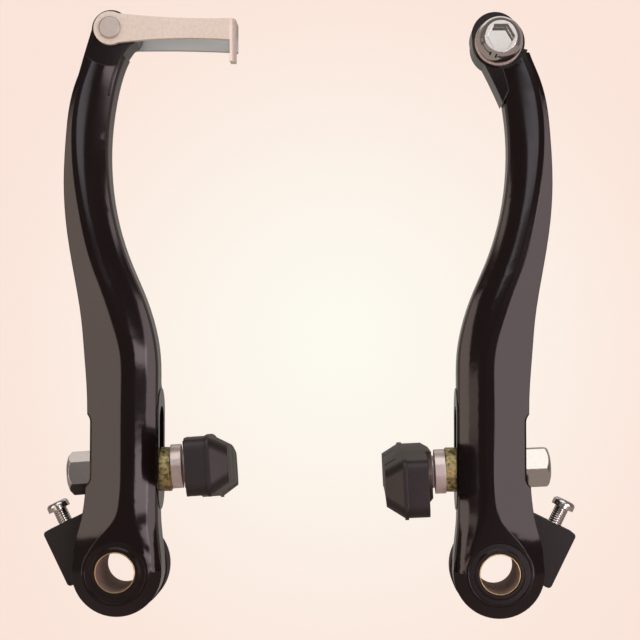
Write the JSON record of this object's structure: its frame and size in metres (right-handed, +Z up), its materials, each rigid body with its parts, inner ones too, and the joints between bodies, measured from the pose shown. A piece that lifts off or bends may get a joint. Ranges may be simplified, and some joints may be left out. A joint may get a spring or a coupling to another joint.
{
  "type": "v-brake",
  "caption": "Linear-pull bicycle rim brake: long black arms with cartridge-style pads, a folding cable link and a cable anchor bolt.",
  "frame": {"origin": "midway between the two pivot axes, in the plane where the pivot sleeves seat on the frame bosses", "axes": "+Z up along the arms, +Y back into the frame along the pivot axes, +X from the arm with the link to the arm with the anchor bolt"},
  "size_m": [0.1142, 0.0556, 0.1278],
  "materials": {
    "arm_black": "glossy black, satin outer facet",
    "sleeve_brass": "turned brass",
    "collar_black": "matte black",
    "housing_plastic": "matte black-brown",
    "steel_plain": "plain steel",
    "spring_steel": "spring wire",
    "nickel_bright": "bright nickel plate",
    "zinc_yellow": "yellow zinc plate",
    "washer_silver": "silver zinc plate",
    "pad_rubber": "charcoal moulded rubber",
    "link_zinc": "pale zinc plate, fine speckle",
    "rivet_steel": "plated steel",
    "bolt_chrome": "polished chrome"
  },
  "bodies": {
    "frame_side": {"left_pivot_sleeve": "sleeve_brass", "left_spring_housing": "housing_plastic", "left_stopper_pin": "steel_plain", "right_pivot_sleeve": "sleeve_brass", "right_spring_housing": "housing_plastic", "right_stopper_pin": "steel_plain"},
    "left_arm_set": {"left_arm": "arm_black", "left_dust_collar": "collar_black", "left_return_spring": "spring_steel", "link_rivet": "rivet_steel"},
    "left_screw": {"left_tension_screw": "nickel_bright"},
    "left_ball_washers": {"left_inner_ball_washer": "zinc_yellow", "left_outer_ball_washer": "zinc_yellow"},
    "left_dished_washers": {"left_inner_dished_washer": "washer_silver", "left_outer_dished_washer": "washer_silver"},
    "left_pad_set": {"left_foot_washer": "washer_silver", "left_pad_post": "steel_plain", "left_pad_nut": "nickel_bright", "left_brake_pad": "pad_rubber"},
    "right_arm_set": {"right_arm": "arm_black", "right_dust_collar": "collar_black", "right_return_spring": "spring_steel", "cable_anchor_washer": "washer_silver", "cable_anchor_bolt": "bolt_chrome"},
    "right_screw": {"right_tension_screw": "nickel_bright"},
    "right_ball_washers": {"right_inner_ball_washer": "zinc_yellow", "right_outer_ball_washer": "zinc_yellow"},
    "right_dished_washers": {"right_inner_dished_washer": "washer_silver", "right_outer_dished_washer": "washer_silver"},
    "right_pad_set": {"right_foot_washer": "washer_silver", "right_pad_post": "steel_plain", "right_pad_nut": "nickel_bright", "right_brake_pad": "pad_rubber"},
    "link": {"cable_link": "link_zinc"}
  },
  "joints": [
    {"name": "left_arm_swing", "type": "hinge", "parent": "frame_side", "child": "left_arm_set", "pos_m": [-0.04, 0, 0], "axis": [0, 1, 0], "range_deg": [-6, 11], "stiffness_Nm_per_rad": 0.6},
    {"name": "left_screw_travel", "type": "slide", "parent": "frame_side", "child": "left_screw", "axis": [-0.4384, 0, 0.8988], "range_m": [-0.0012, 0.0025]},
    {"name": "left_pad_height", "type": "slide", "parent": "left_arm_set", "child": "left_ball_washers", "axis": [0, 0, 1], "range_m": [-0.0008, 0.01]},
    {"name": "left_pad_toe", "type": "hinge", "parent": "left_ball_washers", "child": "left_dished_washers", "pos_m": [-0.0363, -0.0073, 0.021], "axis": [0, 0, 1], "range_deg": [-6, 0.5]},
    {"name": "left_pad_swivel", "type": "hinge", "parent": "left_dished_washers", "child": "left_pad_set", "pos_m": [-0.0363, -0.0073, 0.021], "axis": [0.9962, 0.0523, 0.0697], "range_deg": [-15, 15]},
    {"name": "right_arm_swing", "type": "hinge", "parent": "frame_side", "child": "right_arm_set", "pos_m": [0.04, 0, 0], "axis": [0, -1, 0], "range_deg": [-6, 11], "stiffness_Nm_per_rad": 0.6},
    {"name": "right_screw_travel", "type": "slide", "parent": "frame_side", "child": "right_screw", "axis": [0.4384, 0, 0.8988], "range_m": [-0.0012, 0.0025]},
    {"name": "right_pad_height", "type": "slide", "parent": "right_arm_set", "child": "right_ball_washers", "axis": [0, 0, 1], "range_m": [-0.0008, 0.01]},
    {"name": "right_pad_toe", "type": "hinge", "parent": "right_ball_washers", "child": "right_dished_washers", "pos_m": [0.0363, -0.0073, 0.021], "axis": [0, 0, 1], "range_deg": [-3, 3]},
    {"name": "right_pad_swivel", "type": "hinge", "parent": "right_dished_washers", "child": "right_pad_set", "pos_m": [0.0363, -0.0073, 0.021], "axis": [-0.9989, 0, -0.0471], "range_deg": [-15, 15]},
    {"name": "link_swing", "type": "hinge", "parent": "left_arm_set", "child": "link", "pos_m": [-0.0414, -0.0106, 0.1141], "axis": [0, 1, 0], "range_deg": [-80, 40]}
  ]
}
